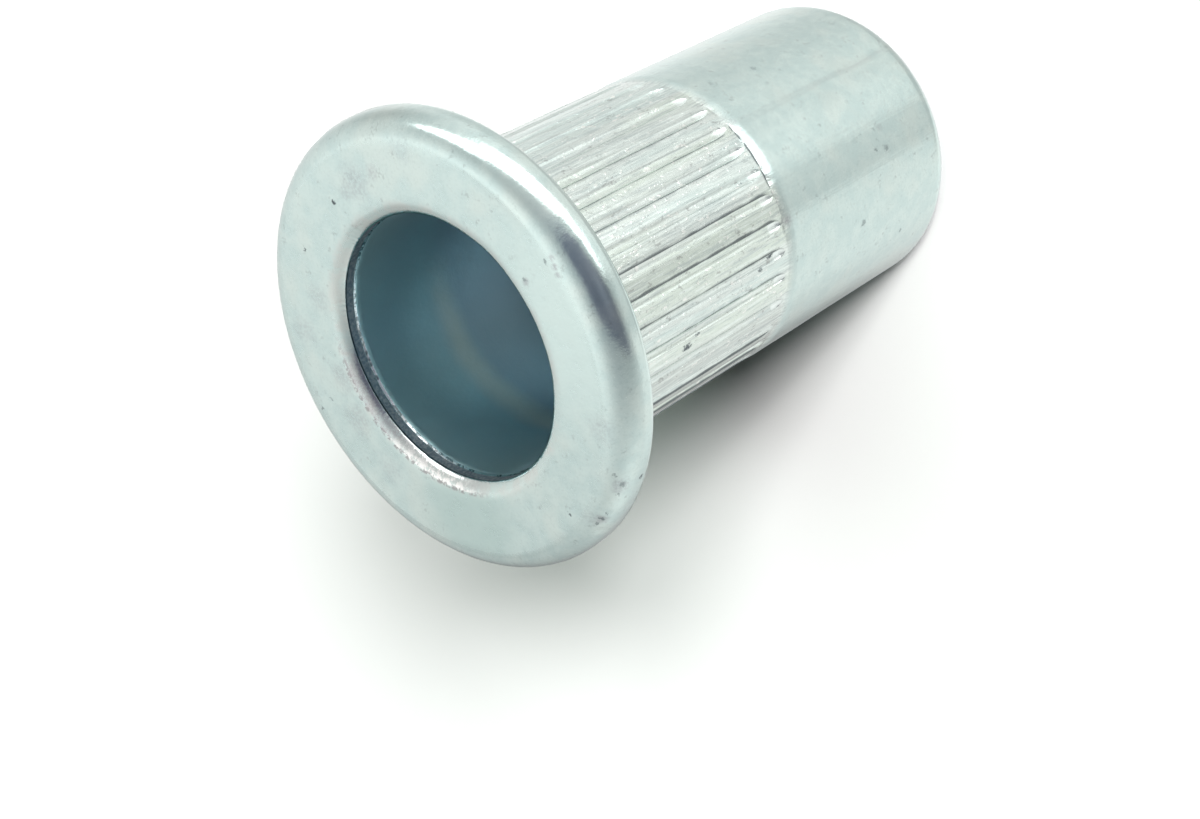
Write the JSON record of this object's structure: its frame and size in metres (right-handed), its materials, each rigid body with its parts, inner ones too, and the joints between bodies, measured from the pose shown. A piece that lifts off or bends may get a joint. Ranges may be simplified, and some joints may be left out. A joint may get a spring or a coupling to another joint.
{
  "type": "rivet nut",
  "caption": "Flat-head knurled rivet nut: a thin-walled knurled sleeve under a round flange, with an internally threaded shank, set blind in a sheet to give it a strong thread.",
  "frame": {"origin": "middle of the open threaded end, on the plane that the part stands on", "axes": "+Z along the axis of the nut, from the open threaded end up to the face of the flange"},
  "size_m": [0.0159, 0.0158, 0.0222],
  "materials": {
    "zinc_steel": "bright blue-white zinc plate over cold-formed steel, lightly pitted"
  },
  "bodies": {
    "root": {"rivet_nut": "zinc_steel"}
  },
  "joints": []
}
